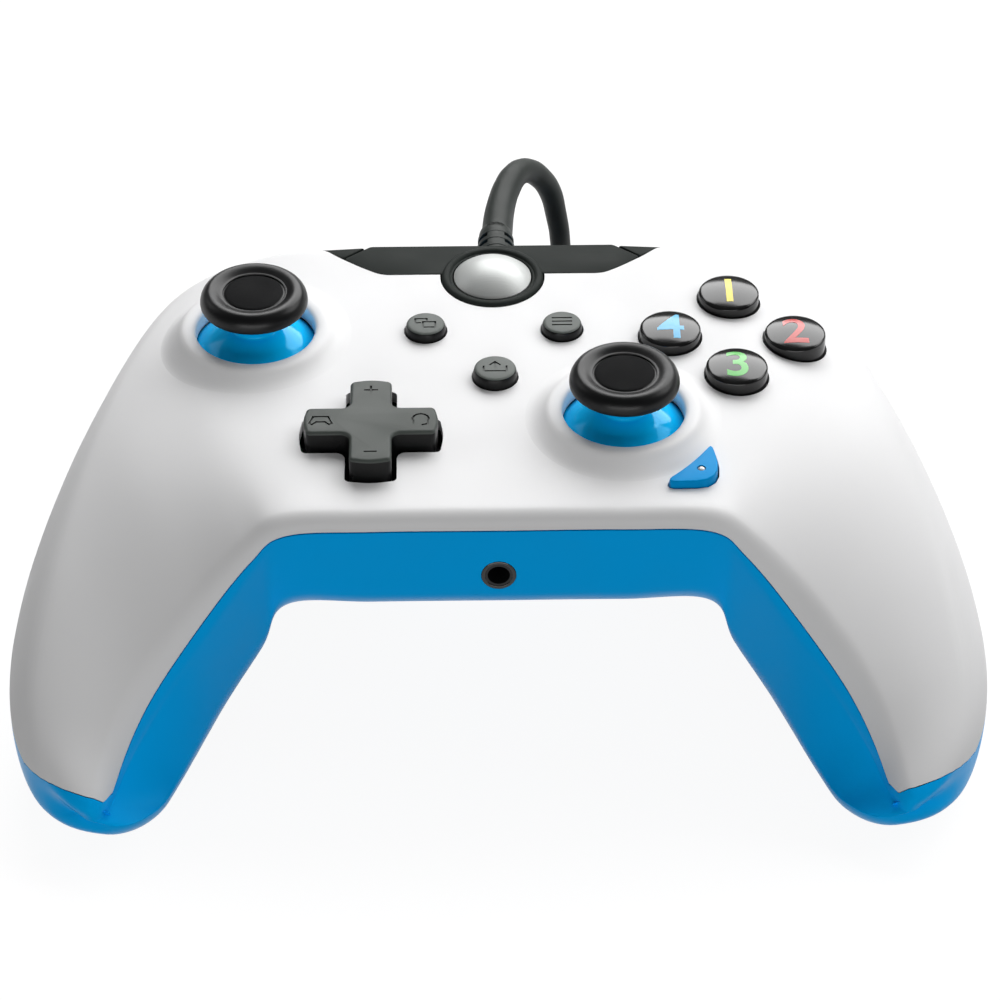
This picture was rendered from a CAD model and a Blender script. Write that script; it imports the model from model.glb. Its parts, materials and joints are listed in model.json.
"""Looks of a wired two-grip gamepad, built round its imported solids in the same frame."""

import json
import logging
import math
from dataclasses import dataclass, field
from enum import Enum
from typing import Callable, Sequence

import bpy
import numpy as np
from mathutils import Matrix, Vector

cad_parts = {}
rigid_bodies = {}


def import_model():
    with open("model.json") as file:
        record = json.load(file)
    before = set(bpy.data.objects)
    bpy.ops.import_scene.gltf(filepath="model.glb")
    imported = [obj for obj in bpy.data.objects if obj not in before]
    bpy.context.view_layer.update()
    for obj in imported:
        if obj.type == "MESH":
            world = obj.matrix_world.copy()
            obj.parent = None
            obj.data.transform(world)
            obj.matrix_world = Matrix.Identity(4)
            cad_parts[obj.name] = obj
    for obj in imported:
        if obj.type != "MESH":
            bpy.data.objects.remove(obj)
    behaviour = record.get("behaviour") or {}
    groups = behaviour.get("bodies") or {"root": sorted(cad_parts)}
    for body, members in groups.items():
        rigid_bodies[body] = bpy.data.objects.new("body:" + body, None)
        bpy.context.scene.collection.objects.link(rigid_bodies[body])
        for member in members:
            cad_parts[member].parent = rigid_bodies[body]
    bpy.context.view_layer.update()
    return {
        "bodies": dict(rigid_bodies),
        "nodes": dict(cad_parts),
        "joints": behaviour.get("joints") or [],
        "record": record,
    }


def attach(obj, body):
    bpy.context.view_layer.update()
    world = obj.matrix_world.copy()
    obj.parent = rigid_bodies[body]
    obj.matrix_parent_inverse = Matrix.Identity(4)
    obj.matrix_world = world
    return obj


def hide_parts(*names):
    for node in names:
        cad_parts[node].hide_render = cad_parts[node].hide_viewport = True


MM = 0.001
SIDES = (("left", -1), ("right", 1))
log = logging.getLogger("gamepad")
Flat = Sequence[tuple[float, float]]


def shifted(points: Flat, across: float, along: float) -> list[tuple[float, float]]:
    """Move a flat chain of points by two sizes."""
    return [(a + across, b + along) for a, b in points]


def flowing(a: np.ndarray, b: np.ndarray, c: np.ndarray, d: np.ndarray, q: float) -> np.ndarray:
    """Find a place between the second and third of four values that a soft line runs through."""
    square = 2 * a - 5 * b + 4 * c - d
    cube = 3 * b - a - 3 * c + d
    return 0.5 * (2 * b + (c - a) * q + square * q * q + cube * q ** 3)


def rounded_box(low: tuple[float, float], high: tuple[float, float], r: float,
                steps: int) -> list[tuple[float, float]]:
    """Draw a box with round corners.

    Args:
        low: Its lower left corner, in millimetres.
        high: Its upper right corner.
        r: Radius of the corners.
        steps: Points of each corner.

    Returns:
        The outline, anticlockwise.
    """
    (x0, y0), (x1, y1) = low, high
    corners = ((x1 - r, y1 - r, 0), (x0 + r, y1 - r, 90), (x0 + r, y0 + r, 180), (x1 - r, y0 + r, 270))
    return [(x + r * math.cos(a), y + r * math.sin(a)) for x, y, turn in corners
            for a in np.radians(np.linspace(turn, turn + 90, steps))]


class Axis(Enum):
    """Line that a turned piece spins about or a plate grows along."""

    X = (1.0, 0.0, 0.0)
    Y = (0.0, 1.0, 0.0)
    Z = (0.0, 0.0, 1.0)

    def spot(self, across: float, beside: float, along: float) -> Vector:
        """Place a point by two sizes across the axis and one along it.

        Args:
            across: First size across the axis, in millimetres.
            beside: Second size across the axis, in millimetres.
            along: Size along the axis, in millimetres.

        Returns:
            The point in metres.
        """
        if self is Axis.X:
            return Vector((along, across, beside)) * MM
        if self is Axis.Y:
            return Vector((across, along, beside)) * MM
        return Vector((across, beside, along)) * MM


class Cut(Enum):
    """What a carving tool does to the piece that it meets."""

    AWAY = "DIFFERENCE"
    KEEP = "INTERSECT"


class Shop:
    """Hand tools. Each works on one mesh with everything else deselected."""

    @staticmethod
    def rest() -> None:
        """Go back to object mode with nothing selected."""
        if bpy.context.mode != "OBJECT":
            bpy.ops.object.mode_set(mode="OBJECT")
        bpy.ops.object.select_all(action="DESELECT")

    @staticmethod
    def hold(*pieces: bpy.types.Object) -> None:
        """Select these pieces alone, the first one active."""
        Shop.rest()
        for piece in pieces:
            piece.select_set(True)
        bpy.context.view_layer.objects.active = pieces[0]

    @staticmethod
    def edit(piece: bpy.types.Object) -> None:
        """Open a piece in edit mode with all of its mesh selected."""
        Shop.hold(piece)
        bpy.ops.object.mode_set(mode="EDIT")
        bpy.ops.mesh.select_all(action="SELECT")

    @staticmethod
    def named(name: str) -> bpy.types.Object:
        """Name the piece that was just added and return it."""
        piece = bpy.context.active_object
        piece.name = name
        piece.data.name = name
        return piece

    @staticmethod
    def tidy(piece: bpy.types.Object, gap: float = 0.001) -> bpy.types.Object:
        """Merge doubled points, then turn the faces outwards.

        Args:
            piece: The mesh to tidy.
            gap: Points closer than this become one, in millimetres.

        Returns:
            The same piece.
        """
        Shop.edit(piece)
        bpy.ops.mesh.remove_doubles(threshold=gap * MM)
        bpy.ops.mesh.normals_make_consistent(inside=False)
        Shop.rest()
        return piece

    @staticmethod
    def sheet(name: str, rows: int, columns: int) -> bpy.types.Object:
        """Lay out a flat grid from -1 to 1 each way, to be moved into shape."""
        Shop.rest()
        bpy.ops.mesh.primitive_grid_add(x_subdivisions=rows, y_subdivisions=columns, size=2,
                                        location=(0, 0, 0))
        return Shop.named(name)

    @staticmethod
    def flipped(piece: bpy.types.Object) -> None:
        """Turn all faces of a piece round."""
        Shop.edit(piece)
        bpy.ops.mesh.flip_normals()
        Shop.rest()

    @staticmethod
    def turned(name: str, profile: Flat, centre: tuple[float, float] = (0, 0), axis: Axis = Axis.Z,
               steps: int = 96) -> bpy.types.Object:
        """Turn a piece on the lathe: a chain of points is drawn out and spun.

        Args:
            name: Name of the piece.
            profile: Radius and place along the axis of each point, in millimetres.
            centre: Where the axis stands, in millimetres.
            axis: Direction of the axis.
            steps: Facets of a full turn.

        Returns:
            The turned piece.
        """
        Shop.rest()
        bpy.ops.mesh.primitive_plane_add(size=MM, location=(0, 0, 0))
        piece = Shop.named(name)
        Shop.edit(piece)
        bpy.ops.mesh.merge(type="CENTER")
        spots = [axis.spot(centre[0] + r, centre[1], h) for r, h in profile]
        bpy.ops.transform.translate(value=spots[0])
        for a, b in zip(spots, spots[1:]):
            bpy.ops.mesh.extrude_region_move(TRANSFORM_OT_translate={"value": b - a})
        bpy.ops.mesh.select_all(action="SELECT")
        bpy.ops.mesh.spin(steps=steps, angle=2 * math.pi, center=axis.spot(*centre, 0), axis=axis.value)
        return Shop.tidy(piece)

    @staticmethod
    def plate(name: str, outline: Flat, low: float, high: float, axis: Axis = Axis.Z) -> bpy.types.Object:
        """Saw a plate: a ring of points is set to an outline and pulled up.

        Args:
            name: Name of the piece.
            outline: Corners across the axis, in millimetres.
            low: Where the plate starts along the axis.
            high: Where it ends.
            axis: Direction in which the plate is thick.

        Returns:
            The plate.
        """
        Shop.rest()
        bpy.ops.mesh.primitive_circle_add(vertices=len(outline), radius=MM, fill_type="NGON",
                                          location=(0, 0, 0))
        piece = Shop.named(name)
        for vertex, (a, b) in zip(piece.data.vertices, outline):
            vertex.co = axis.spot(a, b, low)
        Shop.edit(piece)
        bpy.ops.mesh.extrude_region_move(TRANSFORM_OT_translate={"value": axis.spot(0, 0, high - low)})
        return Shop.tidy(piece)

    @staticmethod
    def rod(name: str, radius: float, low: float, high: float, centre: tuple[float, float] = (0, 0),
            axis: Axis = Axis.Z, steps: int = 64) -> bpy.types.Object:
        """Turn a plain rod, used as a carving tool."""
        return Shop.turned(name, [(0, low), (radius, low), (radius, high), (0, high)], centre, axis, steps)

    @staticmethod
    def block(name: str, low: Sequence[float], high: Sequence[float]) -> bpy.types.Object:
        """Saw a plain block between two corners, used as a carving tool."""
        (x0, y0, z0), (x1, y1, z1) = low, high
        return Shop.plate(name, [(x0, y0), (x1, y0), (x1, y1), (x0, y1)], z0, z1)

    @staticmethod
    def joined(pieces: Sequence[bpy.types.Object]) -> bpy.types.Object:
        """Join pieces into the first one and return it."""
        if len(pieces) > 1:
            Shop.hold(*pieces)
            bpy.ops.object.join()
        return pieces[0]

    @staticmethod
    def applied(piece: bpy.types.Object, kind: str, **settings: object) -> bpy.types.Object:
        """Add a modifier with these settings and apply it."""
        Shop.hold(piece)
        modifier = piece.modifiers.new(kind.lower(), kind)
        for key, value in settings.items():
            setattr(modifier, key, value)
        bpy.ops.object.modifier_apply(modifier=modifier.name)
        return piece

    @staticmethod
    def carve(piece: bpy.types.Object, tools: Sequence[bpy.types.Object],
              cut: Cut = Cut.AWAY) -> bpy.types.Object:
        """Carve a piece with tools, which are used up.

        Args:
            piece: The closed mesh to carve.
            tools: Closed meshes that do the carving.
            cut: What happens where they meet.

        Returns:
            The same piece.
        """
        tool = Shop.joined(tools)
        Shop.applied(piece, "BOOLEAN", operation=cut.value, object=tool, solver="EXACT",
                     use_self=len(tools) > 1)
        bpy.data.meshes.remove(tool.data)
        return piece

    @staticmethod
    def round_off(piece: bpy.types.Object, width: float, segments: int = 3, angle: float = 40,
                  clamp: bool = True) -> bpy.types.Object:
        """Round the edges that are sharper than an angle.

        Args:
            piece: The mesh to round off.
            width: How far the rounding reaches, in millimetres.
            segments: Facets of the rounding.
            angle: Flatter edges stay as they are, in degrees.
            clamp: Whether short edges hold the width back.

        Returns:
            The same piece.
        """
        return Shop.applied(piece, "BEVEL", width=width * MM, segments=segments, limit_method="ANGLE",
                            angle_limit=math.radians(angle), use_clamp_overlap=clamp)

    @staticmethod
    def moved(piece: bpy.types.Object, change: Callable[[np.ndarray], np.ndarray]) -> bpy.types.Object:
        """Move every point of a mesh by a rule that is given and gives millimetres."""
        points = np.empty(len(piece.data.vertices) * 3)
        piece.data.vertices.foreach_get("co", points)
        points = change(points.reshape(-1, 3) / MM) * MM
        piece.data.vertices.foreach_set("co", points.ravel())
        piece.data.update()
        return piece

    @staticmethod
    def topped(piece: bpy.types.Object, look: bpy.types.Material, above: float,
               steep: float = 0.55) -> None:
        """Give the upward faces over a height a second material.

        Args:
            piece: A delivered piece.
            look: The material for its top.
            above: Faces below this height keep the first material, in millimetres.
            steep: Faces whose normal rises less than this keep it too.
        """
        piece.data.materials.append(look)
        for face in piece.data.polygons:
            face.material_index = int(face.normal.z > steep and face.center.z > above * MM)

    @staticmethod
    def deliver(piece: bpy.types.Object, look: bpy.types.Material, body: str, slot: str, *nodes: str,
                angle: float = 35) -> bpy.types.Object:
        """Smooth a finished piece, dress it and hang it on its body.

        Args:
            piece: The finished mesh.
            look: Its material.
            body: The body that it rides on.
            slot: The record's material slot that it belongs to.
            nodes: The solids that it stands for.
            angle: Edges sharper than this stay crisp.

        Returns:
            The same piece.
        """
        Shop.hold(piece)
        bpy.ops.object.shade_smooth_by_angle(angle=math.radians(angle))
        piece.data.materials.clear()
        piece.data.materials.append(look)
        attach(piece, body)
        if nodes:
            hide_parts(*nodes)
        log.info("%s: %d faces, rides on %s", piece.name, len(piece.data.polygons), body)
        Shop.rest()
        return piece


@dataclass(frozen=True)
class Finish:
    """One moulded, printed or metal surface, with grain, slight clouding and uneven gloss."""

    name: str
    colour: tuple[float, float, float]
    rough: float
    spread: float = 0.06
    grain: float = 0.35
    depth: float = 0.12
    cloud: float = 0.03
    cloud_size: float = 9.0
    metal: float = 0.0
    specular: float = 0.5
    coat: float = 0.0
    coat_rough: float = 0.05
    sheen: float = 0.0
    gleam: tuple[float, float, float] = (1.0, 1.0, 1.0)
    stretch: tuple[float, float, float] = (1.0, 1.0, 1.0)

    def material(self) -> bpy.types.Material:
        """Make the node material on object coordinates."""
        look = bpy.data.materials.new(self.name)
        look.use_nodes = True
        nodes, links = look.node_tree.nodes, look.node_tree.links
        shader = nodes["Principled BSDF"]
        shader.inputs["Metallic"].default_value = self.metal
        shader.inputs["Specular IOR Level"].default_value = self.specular
        shader.inputs["Specular Tint"].default_value = self.gleam + (1,)
        shader.inputs["Coat Weight"].default_value = self.coat
        shader.inputs["Coat Roughness"].default_value = self.coat_rough
        shader.inputs["Sheen Weight"].default_value = self.sheen
        place = nodes.new("ShaderNodeTexCoord")
        turn = nodes.new("ShaderNodeMapping")
        turn.inputs["Scale"].default_value = self.stretch
        links.new(place.outputs["Object"], turn.inputs["Vector"])
        clouds = self._noise(look, turn, self.cloud_size, 3)
        tint = nodes.new("ShaderNodeMix")
        tint.data_type = "RGBA"
        for end, level in (("A", 1 - self.cloud), ("B", 1 + self.cloud)):
            tint.inputs[end].default_value = tuple(min(1, c * level) for c in self.colour) + (1,)
        links.new(clouds.outputs["Fac"], tint.inputs["Factor"])
        links.new(tint.outputs["Result"], shader.inputs["Base Color"])
        gloss = nodes.new("ShaderNodeMapRange")
        gloss.inputs["From Min"].default_value = 0.3
        gloss.inputs["From Max"].default_value = 0.7
        gloss.inputs["To Min"].default_value = max(0.02, self.rough - self.spread)
        gloss.inputs["To Max"].default_value = min(1, self.rough + self.spread)
        links.new(clouds.outputs["Fac"], gloss.inputs["Value"])
        links.new(gloss.outputs["Result"], shader.inputs["Roughness"])
        grain = self._noise(look, turn, self.grain, 2)
        bump = nodes.new("ShaderNodeBump")
        bump.inputs["Strength"].default_value = self.depth
        bump.inputs["Distance"].default_value = 0.1 * self.grain * MM
        links.new(grain.outputs["Fac"], bump.inputs["Height"])
        links.new(bump.outputs["Normal"], shader.inputs["Normal"])
        return look

    @staticmethod
    def _noise(look: bpy.types.Material, turn: bpy.types.Node, size: float,
               detail: float) -> bpy.types.Node:
        """Add noise whose blobs are so many millimetres wide."""
        noise = look.node_tree.nodes.new("ShaderNodeTexNoise")
        noise.inputs["Scale"].default_value = 1 / (size * MM)
        noise.inputs["Detail"].default_value = detail
        look.node_tree.links.new(turn.outputs["Vector"], noise.inputs["Vector"])
        return noise


class Looks:
    """All finishes of the pad, by the record's slots and by the prints on the buttons."""

    FINISHES = (
        Finish("white_shell", (0.80, 0.80, 0.805), 0.5, grain=0.45, depth=0.1, cloud=0.012, specular=0.3),
        Finish("blue_plastic", (0.001, 0.43, 0.98), 0.36, grain=0.5, depth=0.06, cloud=0.02, specular=0.28,
               gleam=(0.0, 0.5, 0.85)),
        Finish("stem_blue", (0.001, 0.52, 1.0), 0.1, spread=0.02, depth=0.01, cloud=0.02, specular=0.4,
               gleam=(0.2, 0.65, 0.95)),
        Finish("dark_plastic", (0.021, 0.025, 0.023), 0.58, grain=0.3, depth=0.12, cloud=0.06,
               specular=0.07),
        Finish("key_grey", (0.105, 0.118, 0.109), 0.48, grain=0.3, depth=0.1, cloud=0.04, specular=0.25),
        Finish("pad_grey", (0.060, 0.069, 0.063), 0.48, grain=0.3, depth=0.1, cloud=0.04, specular=0.22),
        Finish("key_blue", (0.001, 0.27, 0.64), 0.36, grain=0.4, depth=0.05, cloud=0.02, specular=0.14,
               gleam=(0.0, 0.5, 0.9)),
        Finish("key_side", (0.004, 0.0042, 0.0044), 0.3, grain=0.3, depth=0.05, cloud=0.06, specular=0.22),
        Finish("black_gloss", (0.004, 0.004, 0.0042), 0.14, spread=0.03, depth=0.02, cloud=0.08),
        Finish("black_matte", (0.010, 0.011, 0.012), 0.5, grain=0.25, cloud=0.08, specular=0.3),
        Finish("guide_metal", (0.52, 0.535, 0.525), 0.5, grain=0.3, depth=0.25, metal=0.4, coat=0.1,
               stretch=(0.05, 1.0, 0.3)),
        Finish("steel", (0.52, 0.52, 0.53), 0.34, grain=0.3, depth=0.2, metal=1.0,
               stretch=(1.0, 0.15, 1.0)),
        Finish("board", (0.012, 0.10, 0.04), 0.42, grain=0.8, depth=0.15, cloud=0.12),
        Finish("grey_plastic", (0.16, 0.16, 0.165), 0.5, grain=0.4, cloud=0.05),
        Finish("pad_rubber", (0.24, 0.24, 0.235), 0.62, grain=0.3, cloud=0.05, sheen=0.15),
        Finish("cap_rubber", (0.004, 0.0042, 0.0046), 0.34, grain=0.22, depth=0.25, cloud=0.06,
               specular=0.26),
        Finish("cable_rubber", (0.028, 0.033, 0.030), 0.48, grain=0.3, depth=0.15, cloud=0.05,
               specular=0.18),
        Finish("print_yellow", (0.80, 0.66, 0.02), 0.2, depth=0.02),
        Finish("print_blue", (0.05, 0.42, 0.72), 0.2, depth=0.02),
        Finish("print_red", (0.55, 0.05, 0.045), 0.2, depth=0.02),
        Finish("print_green", (0.10, 0.50, 0.09), 0.2, depth=0.02),
        Finish("cap_grain", (0.006, 0.0062, 0.0067), 0.66, grain=0.3, depth=0.6, cloud=0.06, specular=0.04),
    )

    def __init__(self) -> None:
        """Make every material once."""
        self.by_name = {finish.name: finish.material() for finish in self.FINISHES}

    def __getitem__(self, name: str) -> bpy.types.Material:
        """Return the material of that name."""
        return self.by_name[name]


@dataclass
class BodyForm:
    """Outer skin of the pad: rounded ribs from the middle along each grip, closed over the grip's tip.

    A station's first line has x and y of the inner, lower, middle and outer rail. Its second line has the
    top's heights at the inner, middle and outer rail, the underside's heights there, the roll and fall of
    the top's inner and outer edge, the heel and rise of the underside's two edges, and how far the outer
    seam lies below the top.
    """

    stations: tuple = (
        (0, -24.3, 0, -24.3, 0, 12, 0, 48.5,
         47.2, 48.6, 49.2, 30, 10, 14, 2.6, 2.8, 2, 2, 2, 1.5, 8, 10, 5),
        (20, -24.3, 20, -24.3, 21, 12, 22, 48.6,
         47.2, 48.6, 49.2, 30, 10, 14, 2.6, 2.8, 2, 2, 2, 1.5, 8, 10, 5),
        (34, -24.4, 34, -24.2, 38, 12, 39, 48.4,
         46.6, 48.6, 48.6, 29.5, 10, 14, 2.8, 3, 3, 3, 2.5, 2, 8, 10, 5),
        (39.5, -26, 38, -23.5, 50, 6, 55.4, 43,
         42.5, 47, 44.8, 19, 9, 14, 3.5, 4.5, 7, 6, 3, 4.5, 8, 10, 9),
        (47, -30.5, 44, -28, 58, -8, 68, 17,
         34, 42, 41, 10, 5, 9, 4.5, 6, 9, 9, 4, 5, 9, 12, 12),
        (55.5, -38, 50.6, -37.8, 65.5, -24, 76.9, -8,
         24, 31.5, 33.5, 3, 1, 4, 5, 6.5, 10, 11, 4, 4.5, 9, 12, 12),
        (60.5, -44.5, 54.2, -45.3, 70, -38, 80.1, -27,
         16, 21.5, 23, 1.7, 0.2, 3, 4, 5, 8, 9, 4, 4, 8, 9, 9),
        (62.3, -49.2, 56.2, -48.4, 70.8, -46.8, 77.8, -41,
         11.5, 14.5, 14, 2.8, 3.2, 7, 3, 3.5, 4, 4, 4, 4, 5, 5, 4),
    )
    squeeze: float = 160 / 160.2
    tip: tuple[float, float, float] = (67.5, -50.4, 8.6)
    tip_from: float = 6.6
    tip_heart: tuple[float, float, float] = (67.1, -41.5, 9.7)
    tip_fill: tuple[float, float, float] = (0.75, 0.85, 0.5)
    ease_step: int = 10
    ease_reach: int = 90
    ease_times: int = 24
    arc: int = 12
    rise: int = 10
    edge_drop: float = 2.8
    seam: float = 0.25
    across: int = 84
    under: int = 84
    fine: int = 100
    end_line: tuple = ((0, 6.58), (0.05, 6.97), (0.12, 7.05), (0.25, 7.15), (0.45, 7.28), (0.65, 7.37),
                       (0.8, 7.34), (0.92, 7.2), (1, 6.98))

    def __post_init__(self) -> None:
        """Sample the skin once: upper side and under side, from the middle to the tip."""
        rows = np.array(self.stations, float)
        rows[:, 0:8:2] *= self.squeeze
        flip = np.ones(rows.shape[1])
        flip[0:8:2] = -1
        self.rows = np.vstack([rows[1] * flip, rows, 2 * rows[-1] - rows[-2]])
        self.last = len(self.stations) - 1
        ribs = [self.rib(i / self.fine) for i in range(self.last * self.fine + 1)]
        self.upper = self._closed(np.array([self._even(rib[0], self.across) for rib in ribs]))
        self.lower = self._closed(np.array([self._even(rib[1], self.under) for rib in ribs]))

    def station(self, t: float) -> np.ndarray:
        """Return the row of sizes at a place between two stations."""
        k = min(int(t), self.last - 1)
        q = t - k
        a, b, c, d = self.rows[k:k + 4]
        return flowing(a, b, c, d, q)

    def rib(self, t: float) -> tuple[np.ndarray, np.ndarray, np.ndarray]:
        """Draw one rib of the body, split at the seam between the shells.

        Args:
            t: Place along the body, in stations from the middle.

        Returns:
            The chain over the top from the inner to the outer seam, the chain under it back again, and the
            whole ring.
        """
        r = self.station(t)
        inner, lower, middle, outer = r[0:2], r[2:4], r[4:6], r[6:8]
        top_z, low_z = r[8:11], r[11:14]
        roll_in, fall_in, roll_out, fall_out = r[14:18]
        heel_in, rise_in, heel_out, rise_out, seam_drop = r[18:23]
        top_run = np.linalg.norm(middle - inner) + np.linalg.norm(outer - middle)
        low_run = np.linalg.norm(middle - lower) + np.linalg.norm(outer - middle)
        fit_in = min(1, (top_z[0] - low_z[0]) / (fall_in + rise_in))
        fit_out = min(1, (top_z[2] - low_z[2]) / (fall_out + rise_out))
        turn = np.radians(np.linspace(0, 90, self.arc + 1))
        flat = np.linspace(0, 1, 38)[1:-1]

        def through(a: np.ndarray, b: np.ndarray, c: np.ndarray, s: np.ndarray) -> np.ndarray:
            """Bend a line through three values."""
            return (np.multiply.outer((1 - s) * (1 - 2 * s), a) + np.multiply.outer(4 * s * (1 - s), b)
                    + np.multiply.outer(s * (2 * s - 1), c))

        def top(s: np.ndarray, drop: np.ndarray) -> np.ndarray:
            """Points of the upper side."""
            return np.column_stack([through(inner, middle, outer, s), through(*top_z, s) - drop])

        def low(s: np.ndarray, rise: np.ndarray) -> np.ndarray:
            """Points of the under side."""
            return np.column_stack([through(lower, middle, outer, s), through(*low_z, s) + rise])

        near, fall = 1 - np.cos(turn), 1 - np.sin(turn)
        top_in = top(roll_in * near / top_run, fall_in * fit_in * fall)
        top_out = top(1 - roll_out * near / top_run, fall_out * fit_out * fall)[::-1]
        low_out = low(1 - heel_out * near / low_run, rise_out * fit_out * fall)
        low_in = low(heel_in * near / low_run, rise_in * fit_in * fall)[::-1]
        s0, s1 = roll_in / top_run, 1 - roll_out / top_run
        b0, b1 = heel_in / low_run, 1 - heel_out / low_run
        crown = top(s0 + (s1 - s0) * flat, 0 * flat)
        belly = low(b1 + (b0 - b1) * flat, 0 * flat)
        walls = np.linspace(0, 1, self.rise + 2)[1:-1, None]
        inner_wall = top_in[0] + (low_in[-1] - top_in[0]) * walls
        outer_wall = top_out[-1] + (low_out[0] - top_out[-1]) * walls
        down_in = np.vstack([top_in[::-1], inner_wall, low_in[-1:]])
        down_out = np.vstack([top_out, outer_wall, low_out[:1]])
        z_in, z_out = top_z[0] - self.edge_drop, top_z[2] - seam_drop
        in_above, _ = self._parted(down_in, z_in)
        _, in_below = self._parted(down_in, z_in - self.seam)
        out_above, _ = self._parted(down_out, z_out)
        _, out_below = self._parted(down_out, z_out - self.seam)
        return (np.vstack([in_above[::-1], crown, out_above]),
                np.vstack([out_below, low_out[1:], belly, low_in[:-1], in_below[::-1]]),
                np.vstack([top_in, crown, top_out, outer_wall, low_out, belly, low_in, inner_wall[::-1]]))

    @staticmethod
    def _parted(chain: np.ndarray, z: float) -> tuple[np.ndarray, np.ndarray]:
        """Split a falling chain at a height, with the point there in both parts."""
        fall = -chain[:, 2]
        cut = np.array([np.interp(-z, fall, chain[:, k]) for k in range(3)])
        return np.vstack([chain[fall < -z - 1e-4], cut]), np.vstack([cut, chain[fall > -z + 1e-4]])

    @staticmethod
    def _even(chain: np.ndarray, count: int) -> np.ndarray:
        """Spread points along a chain, closer together where it bends."""
        step = np.diff(chain, axis=0)
        size = np.linalg.norm(step, axis=1)
        keep = size > 1e-6
        chain = np.vstack([chain[:1], chain[1:][keep]])
        step, size = step[keep], size[keep]
        way = step / size[:, None]
        bend = np.arccos(np.clip((way[1:] * way[:-1]).sum(1), -1, 1))
        extra = np.zeros(len(size))
        extra[:-1] += bend / 2
        extra[1:] += bend / 2
        run = np.concatenate([[0], np.cumsum(size + 4 * extra)])
        want = np.linspace(0, run[-1], count + 1)
        return np.column_stack([np.interp(want, run, chain[:, k]) for k in range(3)])

    def _closed(self, rings: np.ndarray) -> np.ndarray:
        """Cut the ribs off before the last one and round them off to the grip's tip."""
        tip = np.array(self.tip) * (self.squeeze, 1, 1)
        cut = round(self.tip_from * self.fine)
        last = rings[cut]
        bend = tip + np.array(self.tip_fill) * (last - np.array(self.tip_heart))
        q = np.linspace(0, 1, (self.last + 1) * self.fine - cut + 1)[1:, None, None]
        p = 1 - q
        skin = np.concatenate([rings[:cut + 1], p * p * last + 2 * q * p * bend + q * q * tip])
        step, reach = self.ease_step, self.ease_reach
        share = np.clip(1.5 - 1.5 * np.abs(np.arange(-reach, reach + 1)) / reach, 0, 1)[:, None, None]
        for _ in range(self.ease_times):
            here = skin[cut - reach:cut + reach + 1]
            before = skin[cut - reach - step:cut + reach + 1 - step]
            after = skin[cut - reach + step:cut + reach + 1 + step]
            skin[cut - reach:cut + reach + 1] = here + share * (before + after - 2 * here) / 4
        return skin

    def point(self, skin: np.ndarray, v: np.ndarray, column: np.ndarray) -> np.ndarray:
        """Look points up on a sampled skin, mirrored where v is below nought.

        Args:
            skin: The upper or lower side.
            v: Place along the body in stations, below nought on the left.
            column: Column of the skin.

        Returns:
            The points in millimetres.
        """
        place = np.clip(np.abs(v) * self.fine, 0, len(skin) - 1)
        k = np.minimum(place.astype(int), len(skin) - 2)
        q = (place - k)[..., None]
        found = skin[k, column] * (1 - q) + skin[k + 1, column] * q
        found[..., 0] *= np.where(v < 0, -1, 1)
        return found

    def white_end(self, w: np.ndarray) -> np.ndarray:
        """Place along the body where the front shell ends, for shares of the way across."""
        at, v = np.array(self.end_line).T
        smooth = np.interp(np.linspace(-0.01, 1.01, 205), at, v)
        return np.interp(w, np.linspace(0, 1, 201), np.convolve(smooth, np.ones(5) / 5, "valid"))

    def back_line(self, t: float, out: float) -> tuple[float, float]:
        """Point of the outer rail seen from above, moved outwards by so many millimetres."""
        a, b = self.station(t - 0.05)[6:8], self.station(t + 0.05)[6:8]
        way = (b - a) / np.linalg.norm(b - a)
        spot = self.station(t)[6:8] + out * np.array([-way[1], way[0]])
        return float(spot[0]), float(spot[1])

    def outer_point(self, t: float, z: float) -> np.ndarray:
        """Point of the outer side at a height, on the right."""
        top, low, _ = self.rib(t)
        side = np.vstack([top[len(top) // 2:], low[:len(low) // 2]])
        return np.array([np.interp(-z, -side[:, 2], side[:, k]) for k in range(3)])


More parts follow.
